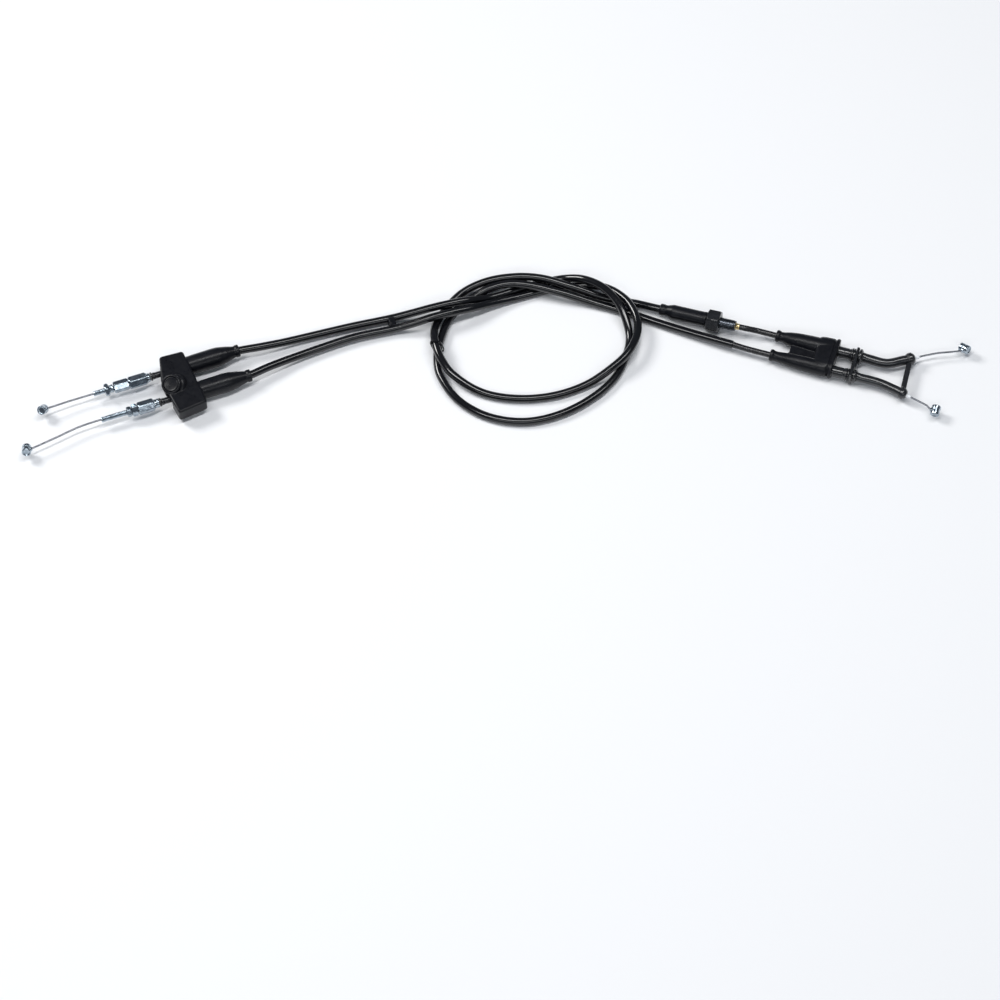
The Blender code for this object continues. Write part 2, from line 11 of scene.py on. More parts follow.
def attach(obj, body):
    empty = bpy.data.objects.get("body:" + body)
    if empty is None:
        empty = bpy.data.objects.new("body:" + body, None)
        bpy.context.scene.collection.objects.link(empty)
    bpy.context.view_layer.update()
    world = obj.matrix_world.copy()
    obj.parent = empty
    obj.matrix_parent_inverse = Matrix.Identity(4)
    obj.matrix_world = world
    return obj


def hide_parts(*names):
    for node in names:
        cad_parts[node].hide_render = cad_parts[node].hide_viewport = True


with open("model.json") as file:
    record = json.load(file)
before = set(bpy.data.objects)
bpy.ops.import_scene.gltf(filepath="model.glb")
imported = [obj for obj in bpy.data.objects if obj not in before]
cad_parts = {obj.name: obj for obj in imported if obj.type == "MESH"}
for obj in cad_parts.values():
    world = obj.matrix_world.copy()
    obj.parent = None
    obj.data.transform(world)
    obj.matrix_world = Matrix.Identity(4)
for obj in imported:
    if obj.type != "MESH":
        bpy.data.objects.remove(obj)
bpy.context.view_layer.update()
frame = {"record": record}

MM = 0.001
JOINTS = {joint["name"]: joint for joint in frame["record"]["behaviour"]["joints"]}


def joint_axis(name):
    return Vector(JOINTS[name]["axis"])


def joint_place(name):
    return Vector(JOINTS[name]["pos_m"])


# Axes and places that the frame gives.
THROTTLE_DIR = -joint_axis("return_wire_travel")
RETURN_END = joint_place("return_adjuster_turn")
PULL_END = joint_place("pull_adjuster_turn")
INLINE_DIR = joint_axis("inline_collar_turn")
INLINE_CENTRE = joint_place("inline_collar_turn")
CARB_DIR = -joint_axis("carb_boot_slide")
PULL_MOUTH_DIR = joint_axis("pull_carb_travel")
RETURN_MOUTH_DIR = joint_axis("return_carb_travel")
UP = Vector((0.0, 0.0, 1.0))

# Places and sizes as in part.py: those multiplied by MM are in metres, and the others in millimetres.
COVER_CENTRE = Vector((-233.7, -8.6, 8.5)) * MM
COVER_REACH = 9.9
# Corners of the dust cover's block seen from above, along and across THROTTLE_DIR from its centre.
COVER_CORNERS = ((-9.5, 26.0), (-14.5, 5.0), (-13.8, -1.5), (-10.2, -26.4), (12.0, -23.4), (8.4, 25.2))
CORNER_DRAW = 1.2
CARB_SPACING = 18.1 * MM
PULL_CARB = Vector((203.2, 37.3, 7.0)) * MM
RETURN_CARB = PULL_CARB - CARB_SPACING * UP.cross(CARB_DIR)
PULL_MOUTH = Vector((304.6, 17.2, 7.0)) * MM
RETURN_MOUTH = Vector((296.4, -16.0, 7.0)) * MM
PULL_TUBE_RADIUS = 3.6
RETURN_TUBE_RADIUS = 3.3
TUBE_BORE = 2.3
CABLE_DIAMETER = 6.0 * MM
WIRE_RADIUS = 0.75 * MM
THREAD_PITCH = 0.8
THIN_COVER_RADIUS = 2.2 * MM

# The guide tubes' bends, each within 1 mm of part.py's.
PULL_TUBE_BEND = Vector((283.3, 12.3, 7.0)) * MM
RETURN_TUBE_BEND = Vector((277.0, -4.9, 7.0)) * MM

# Each inner wire: its side and end, the fitting that it leaves, where along that fitting's axis it starts and
# bends in mm, and its barrel's place and axis.
WIRES = (
    ("return", "throttle", RETURN_END, THROTTLE_DIR, (-21.1, -59.1),
     (-334.6, -29.4, 8.5), (-0.20, -0.68, 0.70)),
    ("pull", "throttle", PULL_END, THROTTLE_DIR, (-21.8, -57.8),
     (-343.9, -64.3, 8.5), (0.08, -0.93, 0.36)),
    ("pull", "carb", PULL_MOUTH, PULL_MOUTH_DIR, (-10.0, 16.2),
     (341.9, 25.7, 7.0), (0.75, -0.62, 0.235)),
    ("return", "carb", RETURN_MOUTH, RETURN_MOUTH_DIR, (-10.0, 16.2),
     (316.6, -29.4, 7.0), (-0.28, -0.93, -0.2)),
)


def along(origin, direction, millimetres):
    return origin + direction * (millimetres * MM)


def points_mm(points):
    return [Vector(point) * MM for point in points]


def run_along(origin, direction, places):
    return [along(origin, direction, place) for place in places]


# The routes of the two covered cables, as in part.py.
RETURN_ROUTE = run_along(RETURN_END, THROTTLE_DIR, (21, 36, 52, 67)) + points_mm((
    (-177, 27, 7.6), (-160, 32.5, 5.6), (-138, 39.5, 4.6), (-112, 47, 4.5),
    (-81.3, 54.7, 4.6), (-66.5, 57.5, 7.2), (-51.5, 60.2, 10.4), (-38.5, 63, 11.6),
    (-25, 67, 10.2), (-9, 73.3, 4.5), (10, 81, 3.1), (29, 87.5, 3.1),
    (47.5, 89.3, 6.8), (62, 84.8, 12), (76.5, 75.5, 13.6), (88, 61, 11.2),
    (94.5, 41.5, 5.4), (93.5, 27, 3.7), (85, 5, 3.1), (69, -13.5, 3.1),
    (44, -29.5, 3.1), (17, -36.5, 3.1), (-10, -32, 3.1), (-32, -17.5, 3.3),
    (-45, 3, 4.2), (-47.6, 19, 4.9), (-45.7, 33, 4.6), (-40, 52, 3.4),
    (-31, 66, 3.1), (-21, 74.2, 3.7), (-10, 79.5, 7.3), (5, 82, 10.2),
    (22, 80.5, 10.2), (42, 75.5, 8.9), (68, 69, 4.4), (94, 60.5, 3.1),
    (121.5, 49.2, 3.5), (146, 39, 5.2), (171, 29.1, 7),
))
PULL_ROUTE = run_along(PULL_END, THROTTLE_DIR, (21, 36, 52, 68)) + points_mm((
    (-170.5, 9.2, 7.6), (-155, 17.8, 5.6), (-133, 28, 4.6), (-108.5, 37.6, 4.5),
    (-81.3, 44.6, 4.6), (-66.5, 47, 8.2), (-51.5, 50, 12.2), (-38.5, 54.2, 12.2),
    (-24, 59.5, 10), (-8, 67, 6.2), (10, 74, 3.3), (32.5, 80.7, 3.1),
    (55, 84.8, 3.6), (76.5, 81, 7.4), (92, 68, 10.4), (99.5, 53, 10.8),
    (100.5, 38, 10.6), (94, 21, 10.6), (82, 8, 8.9), (62, -4.5, 3.7),
    (37, -14, 3.1), (10, -16.2, 3.1), (-15, -11, 3.8), (-36, 2, 8),
    (-45.5, 16, 11), (-49.5, 31, 11.2), (-49, 47, 6.4), (-42.5, 62, 3.8),
    (-29, 78.5, 3.9), (-11, 86.2, 7.6), (11.5, 88.4, 10.4), (31, 86.5, 10.7),
    (52, 80.3, 8.9), (74, 74.9, 3.8), (89, 71.5, 3.1), (101, 68.2, 4.1),
)) + run_along(INLINE_CENTRE, INLINE_DIR, (-46, -30, -12))


# ---- camera, light and floor ----

CAMERA_TARGET = Vector((-1.2, -101.9, 0.0)) * MM
CAMERA_ELEVATION = math.radians(58.0)
CAMERA_DISTANCE = 2.4


def make_camera():
    data = bpy.data.cameras.new("camera")
    data.lens = 120.0
    data.sensor_width = 36.0
    camera = bpy.data.objects.new("camera", data)
    bpy.context.scene.collection.objects.link(camera)
    away = Vector((0.0, -math.cos(CAMERA_ELEVATION), math.sin(CAMERA_ELEVATION)))
    camera.location = CAMERA_TARGET + away * CAMERA_DISTANCE
    camera.rotation_euler = (math.pi / 2 - CAMERA_ELEVATION, 0.0, 0.0)
    bpy.context.scene.camera = camera


def make_light(name, place, size, power, colour, target=Vector((0.0, 0.0, 0.0))):
    data = bpy.data.lights.new(name, "AREA")
    data.shape = "RECTANGLE"
    data.size, data.size_y = size
    data.energy = power
    data.color = colour
    light = bpy.data.objects.new(name, data)
    bpy.context.scene.collection.objects.link(light)
    light.location = place
    light.rotation_euler = (target - Vector(place)).to_track_quat("-Z", "Y").to_euler()


def make_studio():
    scene = bpy.context.scene
    scene.view_settings.view_transform = "Standard"
    world = bpy.data.worlds.new("studio")
    world.use_nodes = True
    background = world.node_tree.nodes["Background"]
    background.inputs["Color"].default_value = (0.80, 0.88, 1.0, 1.0)
    background.inputs["Strength"].default_value = 0.16
    scene.world = world
    make_light("overhead", (0.05, -0.10, 2.2), (2.6, 0.30), 30.0, (1.0, 1.0, 1.0))
    make_light("front", (0.2, -1.9, 1.7), (2.6, 0.35), 11.0, (0.96, 0.98, 1.0))
    make_light("key", (-1.9, 0.9, 2.0), (0.9, 0.9), 46.0, (1.0, 0.99, 0.97))


def make_floor():
    mesh = bpy.data.meshes.new("floor")
    half = 4.0
    corners = [(-half, -half, 0.0), (half, -half, 0.0), (half, half, 0.0), (-half, half, 0.0)]
    mesh.from_pydata(corners, [], [(0, 1, 2, 3)])
    floor = bpy.data.objects.new("floor", mesh)
    bpy.context.scene.collection.objects.link(floor)
    material = bpy.data.materials.new("floor")
    material.use_nodes = True
    shader = material.node_tree.nodes["Principled BSDF"]
    shader.inputs["Base Color"].default_value = (0.90, 0.91, 0.93, 1.0)
    shader.inputs["Roughness"].default_value = 0.9
    shader.inputs["Specular IOR Level"].default_value = 0.1
    mesh.materials.append(material)


# ---- materials ----

def coordinates(tree):
    return tree.nodes.new("ShaderNodeTexCoord").outputs["Object"]


def noise_value(tree, scale, detail=3.0, roughness=0.55):
    texture = tree.nodes.new("ShaderNodeTexNoise")
    texture.inputs["Scale"].default_value = scale
    texture.inputs["Detail"].default_value = detail
    texture.inputs["Roughness"].default_value = roughness
    tree.links.new(coordinates(tree), texture.inputs["Vector"])
    return texture.outputs["Fac"]


def spread(tree, value, low, high):
    """The value from 0..1 moved to low..high, with its middle half stretched over the range."""
    ranged = tree.nodes.new("ShaderNodeMapRange")
    ranged.inputs["From Min"].default_value = 0.3
    ranged.inputs["From Max"].default_value = 0.7
    ranged.inputs["To Min"].default_value = low
    ranged.inputs["To Max"].default_value = high
    tree.links.new(value, ranged.inputs["Value"])
    return ranged.outputs["Result"]


def two_tones(tree, value, dark, light):
    """The value as a colour between dark and light."""
    ramp = tree.nodes.new("ShaderNodeValToRGB")
    ramp.color_ramp.elements[0].position = 0.32
    ramp.color_ramp.elements[1].position = 0.68
    ramp.color_ramp.elements[0].color = (*dark, 1.0)
    ramp.color_ramp.elements[1].color = (*light, 1.0)
    tree.links.new(value, ramp.inputs["Fac"])
    return ramp.outputs["Color"]


def finish_material(name, dark, light, tone_scale, rough, rough_scale, metallic=0.0,
                    grains=(), coat=0.0, specular=0.5):
    """A shader whose colour and roughness drift over the surface. grains are (scale, height in metres) bumps."""
    material = bpy.data.materials.new(name)
    material.use_nodes = True
    tree = material.node_tree
    shader = tree.nodes["Principled BSDF"]
    tones = two_tones(tree, noise_value(tree, tone_scale), dark, light)
    tree.links.new(tones, shader.inputs["Base Color"])
    roughness = spread(tree, noise_value(tree, rough_scale, 4.0), *rough)
    tree.links.new(roughness, shader.inputs["Roughness"])
    shader.inputs["Metallic"].default_value = metallic
    shader.inputs["Specular IOR Level"].default_value = specular
    shader.inputs["Coat Weight"].default_value = coat
    shader.inputs["Coat Roughness"].default_value = 0.12
    normal = None
    for scale, height in grains:
        bump = tree.nodes.new("ShaderNodeBump")
        bump.inputs["Distance"].default_value = height
        bump.inputs["Strength"].default_value = 1.0
        tree.links.new(noise_value(tree, scale, 2.0), bump.inputs["Height"])
        if normal:
            tree.links.new(normal, bump.inputs["Normal"])
        normal = bump.outputs["Normal"]
    if normal:
        tree.links.new(normal, shader.inputs["Normal"])
    return material


def make_materials():
    return {
        "rubber": finish_material(
            "moulded_rubber", (0.0030, 0.0034, 0.0055), (0.006, 0.0066, 0.0095), 140.0,
            (0.26, 0.40), 420.0, grains=((2600.0, 0.000012), (500.0, 0.00003)), specular=0.26),
        "cable_cover": finish_material(
            "vinyl_cover", (0.0022, 0.0024, 0.0034), (0.004, 0.0042, 0.006), 60.0,
            (0.11, 0.17), 120.0, coat=0.2, specular=0.5),
        "thin_cover": finish_material(
            "thin_cover", (0.005, 0.005, 0.0065), (0.009, 0.0095, 0.012), 180.0,
            (0.22, 0.32), 300.0, coat=0.1),
        "zinc_plate": finish_material(
            "blue_zinc", (0.27, 0.32, 0.37), (0.50, 0.57, 0.63), 330.0,
            (0.10, 0.22), 500.0, metallic=1.0),
        "wire_steel": finish_material(
            "strand_steel", (0.20, 0.21, 0.24), (0.36, 0.37, 0.40), 800.0,
            (0.25, 0.40), 900.0, metallic=1.0),
        "sleeve_steel": finish_material(
            "grey_steel", (0.045, 0.05, 0.06), (0.09, 0.10, 0.115), 260.0,
            (0.20, 0.32), 500.0, metallic=1.0),
        "brass": finish_material(
            "yellow_brass", (0.62, 0.46, 0.18), (0.86, 0.72, 0.42), 500.0,
            (0.20, 0.34), 600.0, metallic=1.0),
        "liner_white": finish_material(
            "white_liner", (0.76, 0.79, 0.83), (0.90, 0.92, 0.94), 500.0,
            (0.30, 0.42), 900.0),
        "black_steel": finish_material(
            "black_plate", (0.006, 0.0065, 0.008), (0.014, 0.015, 0.018), 240.0,
            (0.16, 0.28), 300.0, grains=((420.0, 0.00001),), coat=0.2, specular=0.6),
    }


# ---- mesh building ----

def smooth_points(route, per_span=24):
    """Points of one smooth curve through the route, its tangents scaled to each span."""
    guides = [2 * route[0] - route[1]] + list(route) + [2 * route[-1] - route[-2]]
    points = []
    for before, start, end, after in zip(guides, guides[1:], guides[2:], guides[3:]):
        span = (end - start).length
        leave = (end - before) * span / (span + (start - before).length)
        arrive = (after - start) * span / (span + (after - end).length)
        for step in range(per_span):
            t = step / per_span
            points.append(
                (2 * t**3 - 3 * t**2 + 1) * start
                + (t**3 - 2 * t**2 + t) * leave
                + (3 * t**2 - 2 * t**3) * end
                + (t**3 - t**2) * arrive
            )
    return points + [route[-1]]


def run_length(points):
    return sum((end - start).length for start, end in zip(points, points[1:]))


def evenly(points, count):
    """The same curve as count points, spaced evenly along it."""
    reached = [0.0]
    for start, end in zip(points, points[1:]):
        reached.append(reached[-1] + (end - start).length)
    result = []
    index = 0
    for step in range(count):
        wanted = reached[-1] * step / (count - 1)
        while index < len(points) - 2 and reached[index + 1] < wanted:
            index += 1
        share = (wanted - reached[index]) / (reached[index + 1] - reached[index])
        result.append(points[index].lerp(points[index + 1], share))
    return result


def axes_across(direction):
    """Two unit vectors across the direction; the second is as high as it can be."""
    side = direction.cross(UP).normalized()
    return side, side.cross(direction).normalized()


def transported(points):
    """(point, side, up) along a run, with no twist between neighbours."""
    side, up = axes_across((points[1] - points[0]).normalized())
    placed = []
    for index, point in enumerate(points):
        before = points[max(index - 1, 0)]
        after = points[min(index + 1, len(points) - 1)]
        direction = (after - before).normalized()
        side = (side - direction * side.dot(direction)).normalized()
        placed.append((point, side, side.cross(direction).normalized()))
    return placed


def link(obj):
    bpy.context.scene.collection.objects.link(obj)
    return obj


def shade(mesh, sharp=math.radians(34.0)):
    mesh.shade_smooth()
    mesh.set_sharp_from_angle(angle=sharp)


def skin(name, rows, loop_rows, cap_ends=False):
    """A mesh through rows of points, each row a closed ring. loop_rows joins the last row to the first."""
    shape = bmesh.new()
    made = [[shape.verts.new(point) for point in row] for row in rows]
    pairs = list(zip(made, made[1:]))
    if loop_rows:
        pairs.append((made[-1], made[0]))
    for first, second in pairs:
        for index in range(len(first)):
            after = (index + 1) % len(first)
            shape.faces.new((first[index], first[after], second[after], second[index]))
    if cap_ends:
        shape.faces.new(made[0])
        shape.faces.new(made[-1])
    bmesh.ops.remove_doubles(shape, verts=shape.verts, dist=1e-7)
    bmesh.ops.dissolve_degenerate(shape, edges=shape.edges, dist=1e-7)
    bmesh.ops.recalc_face_normals(shape, faces=shape.faces)
    mesh = bpy.data.meshes.new(name)
    shape.to_mesh(mesh)
    shape.free()
    shade(mesh)
    return link(bpy.data.objects.new(name, mesh))


def softened(profile, size, closed, steps=3):
    """The profile with each corner rounded by up to size."""
    count = len(profile)
    result = []
    for index, corner in enumerate(profile):
        if not closed and index in (0, count - 1):
            result.append(corner)
            continue
        here = Vector(corner)
        before = Vector(profile[index - 1]) - here
        after = Vector(profile[(index + 1) % count]) - here
        first = here + before * min(0.45, size / max(before.length, 1e-9))
        last = here + after * min(0.45, size / max(after.length, 1e-9))
        for step in range(steps + 1):
            t = step / steps
            result.append(tuple(first * (1 - t) ** 2 + here * (2 * t * (1 - t)) + last * t**2))
    return result


def ring_rows(profile, origin, direction, steps, radius_at=None):
    """Rows of points round an axis; profile is (radius, place) in millimetres."""
    side, up = axes_across(direction)
    rows = []
    for radius, place in profile:
        middle = along(origin, direction, place)
        row = []
        for step in range(steps):
            angle = math.tau * step / steps
            reach = (radius_at(radius, angle) if radius_at else radius) * MM
            row.append(middle + side * (math.cos(angle) * reach) + up * (math.sin(angle) * reach))
        rows.append(row)
    return rows


def lathe(name, outer, bore, origin, direction, soft=0.25, steps=64):
    """A turned piece. outer and bore are (radius, place) in millimetres, both with place rising."""
    if bore:
        profile = softened(list(outer) + list(reversed(bore)), soft, True)
    else:
        profile = softened([(0.0, outer[0][1]), *outer, (0.0, outer[-1][1])], soft, False)
    return skin(name, ring_rows(profile, origin, direction, steps), bool(bore))


def hexagon(name, start, end, corner, bore, origin, direction, phase, chamfer=0.9):
    """A hex nut or body with turned chamfers and a round bore, turned by phase about its axis."""
    flat = corner * math.cos(math.pi / 6)
    worn = corner * 0.985
    edge = 0.35

    def reach(radius, angle):
        if radius <= bore + 0.4:
            return radius
        turned = (angle - phase) % (math.pi / 3) - math.pi / 6
        return min(radius, flat / math.cos(turned))

    slope = 5
    rise = [(flat - edge, start), (flat - 0.1, start + 0.12)]
    rise += [
        (flat + (worn - flat) * step / slope, start + 0.15 + chamfer * step / slope)
        for step in range(slope + 1)
    ]
    fall = [(radius, start + end - place) for radius, place in reversed(rise)]
    inner = [(bore + edge, end), (bore, end - edge), (bore, start + edge), (bore + edge, start)]
    return skin(name, ring_rows(rise + fall + inner, origin, direction, 96, reach), True)


def threaded(name, start, end, major, depth, bore, origin, direction):
    """A threaded stem: a helical groove between two plain, chamfered ends."""
    side, up = axes_across(direction)
    steps = 36
    per_turn = 7
    count = round((end - start) / THREAD_PITCH * per_turn)
    rows = []
    for index in range(count + 1):
        place = start + (end - start) * index / count
        near_end = min(place - start, end - place)
        fade = max(0.0, min(1.0, (near_end - 0.3) / 0.8))
        limit = major - depth * max(0.0, 1.0 - near_end / 0.6)
        row = []
        for step in range(steps):
            angle = math.tau * step / steps
            turn = (place / THREAD_PITCH - step / steps) % 1.0
            radius = limit - fade * depth * (0.5 - 0.5 * math.cos(math.tau * turn))
            middle = along(origin, direction, place)
            row.append(middle + (side * math.cos(angle) + up * math.sin(angle)) * (radius * MM))
        rows.append(row)
    inner = [(bore + 0.25, end), (bore, end - 0.3), (bore, start + 0.3), (bore + 0.25, start)]
    rows += ring_rows(inner, origin, direction, steps)
    return skin(name, rows, True)


def swept(name, points, radius, sides=40, inner=None, radius_at=None):
    """A tube along the points. With inner it is hollow, else it has flat ends."""
    placed = transported(points)

    def ring(point, side, up, reach):
        turns = [math.tau * step / sides for step in range(sides)]
        return [point + (side * math.cos(turn) + up * math.sin(turn)) * reach for turn in turns]

    rows = []
    for index, (point, side, up) in enumerate(placed):
        reach = radius_at(index / (len(placed) - 1)) if radius_at else radius
        rows.append(ring(point, side, up, reach))
    if inner:
        rows += [ring(point, side, up, inner) for point, side, up in reversed(placed)]
    return skin(name, rows, bool(inner), cap_ends=not inner)


def rounded_block(name, centre, size, x_dir, round_off, segments=4):
    """A box with rounded edges, its X along x_dir; size in metres."""
    shape = bmesh.new()
    bmesh.ops.create_cube(shape, size=1.0)
    bmesh.ops.scale(shape, vec=size, verts=shape.verts)
    bmesh.ops.bevel(
        shape, geom=list(shape.edges), offset=round_off, segments=segments, profile=0.5, affect="EDGES"
    )
    side, up = axes_across(x_dir)
    turn = Matrix((x_dir, -side, up)).transposed().to_4x4()
    bmesh.ops.transform(shape, matrix=Matrix.Translation(centre) @ turn, verts=shape.verts)
    bmesh.ops.recalc_face_normals(shape, faces=shape.faces)
    mesh = bpy.data.meshes.new(name)
    shape.to_mesh(mesh)
    shape.free()
    shade(mesh)
    return link(bpy.data.objects.new(name, mesh))


def evaluated_copy(obj, name):
    graph = bpy.context.evaluated_depsgraph_get()
    mesh = bpy.data.meshes.new_from_object(obj.evaluated_get(graph))
    mesh.name = name
    return link(bpy.data.objects.new(name, mesh))


def moulded(name, base, added, cut, voxel):
    """One moulded skin: base joined with added, less cut, then remeshed and relaxed into soft joints."""
    steps = [(piece, "UNION") for piece in added] + [(piece, "DIFFERENCE") for piece in cut]
    for other, operation in steps:
        boolean = base.modifiers.new(other.name, "BOOLEAN")
        boolean.operation = operation
        boolean.solver = "EXACT"
        boolean.object = other
    remesh = base.modifiers.new("remesh", "REMESH")
    remesh.mode = "VOXEL"
    remesh.voxel_size = voxel
    relax = base.modifiers.new("relax", "SMOOTH")
    relax.factor = 0.5
    relax.iterations = 3
    piece = evaluated_copy(base, name)
    for used in [base, *added, *cut]:
        bpy.data.objects.remove(used, do_unlink=True)
    piece.data.shade_smooth()
    return piece


MATERIALS = make_materials()


def settle(piece, body, slot, *nodes):
    """Gives the piece the material of its slot, hides the CAD nodes it stands for and attaches it to the body it
    rides on.
    """
    piece.data.materials.clear()
    piece.data.materials.append(MATERIALS[slot])
    if nodes:
        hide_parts(*nodes)
    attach(piece, body)
    return piece


# ---- covered cables ----

def covered_cable(name, route, node_name):
    """A covered cable along its route, and the points of the run."""
    points = evenly(smooth_points(route), 520)
    curve = bpy.data.curves.new(name, "CURVE")
    curve.dimensions = "3D"
    curve.bevel_depth = CABLE_DIAMETER / 2
    curve.bevel_resolution = 7
    curve.use_fill_caps = True
    spline = curve.splines.new("POLY")
    spline.points.add(len(points) - 1)
    for target, point in zip(spline.points, points):
        target.co = (*point, 1.0)
    cable = settle(link(bpy.data.objects.new(name, curve)), "root", "cable_cover", node_name)
    return cable, points


def make_cables(clip, tie):
    cable, points = covered_cable("return_cable", RETURN_ROUTE, "return_housing")
    cable, points = covered_cable("pull_cable", PULL_ROUTE, "pull_housing")


def make_clip():
    """A soft clip between the cables, hollowed so that it grips both, with a small catch on top."""
    heading = math.radians(12.0)
    direction = Vector((math.cos(heading), math.sin(heading), 0.0))
    centres = points_mm(((-81.3, 54.7, 4.6), (-81.3, 44.6, 4.6)))
    middle = (centres[0] + centres[1]) / 2
    base = rounded_block("clip_web", middle, Vector((5.6, 9.0, 6.6)) * MM, direction, 0.9 * MM)
    catch_place = middle + (UP * 2.6 + direction * -1.2) * MM
    catch = rounded_block("clip_catch", catch_place, Vector((2.2, 3.4, 2.6)) * MM, direction, 0.6 * MM)
    nub_place = middle + UP * 2.2 * MM + direction * 1.4 * MM
    nub = lathe("clip_nub", [(1.3, 0.0), (1.2, 1.5), (0.7, 2.0)], None, nub_place, UP)
    holes = [(3.4, -6.0), (3.4, 6.0)]
    cut = [
        lathe(f"clip_hole_{index}", holes, None, centre, direction)
        for index, centre in enumerate(centres)
    ]
    return settle(moulded("clip", base, [catch, nub], cut, 0.2 * MM), "root", "rubber", "cable_clip")


def make_tie():
    """A flat band round both cables where the loop closes."""
    centre = Vector((-47.6, 27.0, 8.15)) * MM
    half_rise, radius, lean, half_width, half_thick = 3.1, 4.0, -0.25, 0.7, 0.35
    arc = 16
    turns = [math.pi * step / arc for step in range(arc + 1)]
    outline = [(radius * math.cos(turn), half_rise + radius * math.sin(turn)) for turn in turns]
    outline += [(-across, -rise) for across, rise in outline]
    rows = []
    for across, rise in outline:
        middle = Vector((across, 0.0, math.copysign(half_rise, rise)))
        outward = (Vector((across, 0.0, rise)) - Vector((0.0, 0.0, middle.z))).normalized()
        row = []
        for sign_y, sign_out in ((-1, -1), (-1, 1), (1, 1), (1, -1)):
            offset = outward * (sign_out * half_thick) + Vector((0.0, sign_y * half_width, 0.0))
            point = Vector((across, 0.0, rise)) + offset
            row.append(centre + Vector((point.x + lean * point.z, point.y, point.z)) * MM)
        rows.append(row)
    band = skin("tie", rows, True)
    bevel = band.modifiers.new("edges", "BEVEL")
    bevel.width = 0.2 * MM
    bevel.segments = 2
    return settle(band, "root", "rubber", "loop_tie")


# ---- inner wires and barrels ----

def strand(name, points, radius, body, node_name):
    """A stranded wire: single wires laid round the run with a long twist."""
    wires, sides = 6, 6
    wire = radius / 2.9
    lay = 7.0 * MM
    step_target = 0.45 * MM
    run = evenly(points, max(20, round(run_length(points) / step_target)))
    placed = transported(run)
    step_length = run_length(run) / (len(run) - 1)
    shape = bmesh.new()
    for number in range(wires):
        previous = None
        for index, (point, side, up) in enumerate(placed):
            turn = math.tau * (number / wires + index * step_length / lay)
            outward = side * math.cos(turn) + up * math.sin(turn)
            middle = point + outward * (radius - wire)
            ahead = placed[min(index + 1, len(placed) - 1)][0] - placed[max(index - 1, 0)][0]
            across = ahead.normalized().cross(outward)
            ring = []
            for corner in range(sides):
                angle = math.tau * corner / sides
                offset = (outward * math.cos(angle) + across * math.sin(angle)) * wire
                ring.append(shape.verts.new(middle + offset))
            if previous:
                for corner in range(sides):
                    after = (corner + 1) % sides
                    shape.faces.new((previous[corner], previous[after], ring[after], ring[corner]))
            else:
                shape.faces.new(list(reversed(ring)))
            previous = ring
        shape.faces.new(previous)
    bmesh.ops.recalc_face_normals(shape, faces=shape.faces)
    mesh = bpy.data.meshes.new(name)
    shape.to_mesh(mesh)
    shape.free()
    mesh.shade_smooth()
    return settle(link(bpy.data.objects.new(name, mesh)), body, "wire_steel", node_name)


def square_to(axis, toward):
    """The unit vector square to the axis that points toward."""
    return (toward - axis * toward.dot(axis)).normalized()


def barrel(name, centre, axis, outward, body, node_name):
    """A cast nipple: a barrel with dished ends, a seam groove and a boss where the wire goes in."""
    outer = [
        (1.3, -3.1), (2.1, -3.15), (2.5, -3.7), (3.0, -3.75), (3.4, -3.3), (3.4, -0.9), (3.2, -0.7),
        (3.2, 0.7), (3.4, 0.9), (3.4, 3.3), (3.0, 3.75), (2.5, 3.7), (2.1, 3.15), (1.3, 3.1),
    ]
    settle(lathe(name, outer, None, centre, axis, 0.18, 64), body, "zinc_plate", node_name)
    collar = [(1.9, 2.6), (1.7, 3.5), (1.1, 4.2)]
    settle(lathe(f"{name}_boss", collar, None, centre, outward, 0.2, 32), body, "zinc_plate")


def make_wires():
    for side, end, fitting, direction, straight, barrel_place, barrel_axis in WIRES:
        tail, bend = run_along(fitting, direction, straight)
        centre = Vector(barrel_place) * MM
        axis = Vector(barrel_axis).normalized()
        outward = square_to(axis, bend - centre)
        stop = along(centre, outward, 3.6)
        run = smooth_points([tail, bend, bend.lerp(stop, 0.55), stop])
        body = f"{side}_{end}_wire"
        strand(f"{side}_{end}_strand", run, WIRE_RADIUS, body, body)
        barrel(f"{side}_{end}_nipple", centre, axis, outward, body, f"{side}_{end}_barrel")


# ---- adjusters at the throttle end ----

def make_return_adjuster():
    place = (RETURN_END, THROTTLE_DIR)
    stem = threaded("return_stem_thread", -43.1, -4.0, 2.0, 0.28, 1.1, *place)
    settle(stem, "return_stem", "zinc_plate", "return_adjuster_stem")
    nut = hexagon("return_lock_nut", -34.6, -31.4, 5.0, 2.1, *place, math.radians(6))
    settle(nut, "return_jam_nut", "zinc_plate", "return_jam_nut")
    collar = [(2.9, -31.0), (3.1, -30.5), (2.7, -29.9), (3.1, -29.3), (3.1, -28.3)]
    thin = lathe("return_collar_nut", collar, [(2.1, -31.0), (2.1, -28.3)], *place)
    settle(thin, "return_stem", "zinc_plate", "return_thin_nut")
    small = hexagon("return_hex_body", -27.7, -16.4, 4.5, 2.1, *place, math.radians(16), 0.7)
    settle(small, "return_hex", "zinc_plate", "return_adjuster_hex")
    large = hexagon("return_long_hex", -16.1, -2.9, 5.0, 2.1, *place, math.radians(4), 0.8)
    settle(large, "root", "zinc_plate", "return_adjuster_body")
    cap = [(3.9, -2.9), (3.9, -2.3), (3.3, -1.9), (3.3, -0.7), (2.9, 0.0)]
    settle(lathe("return_cap", cap, [(2.1, -2.9), (2.1, 0.0)], *place), "root", "zinc_plate")
    ferrule_and_cover("return", RETURN_END)


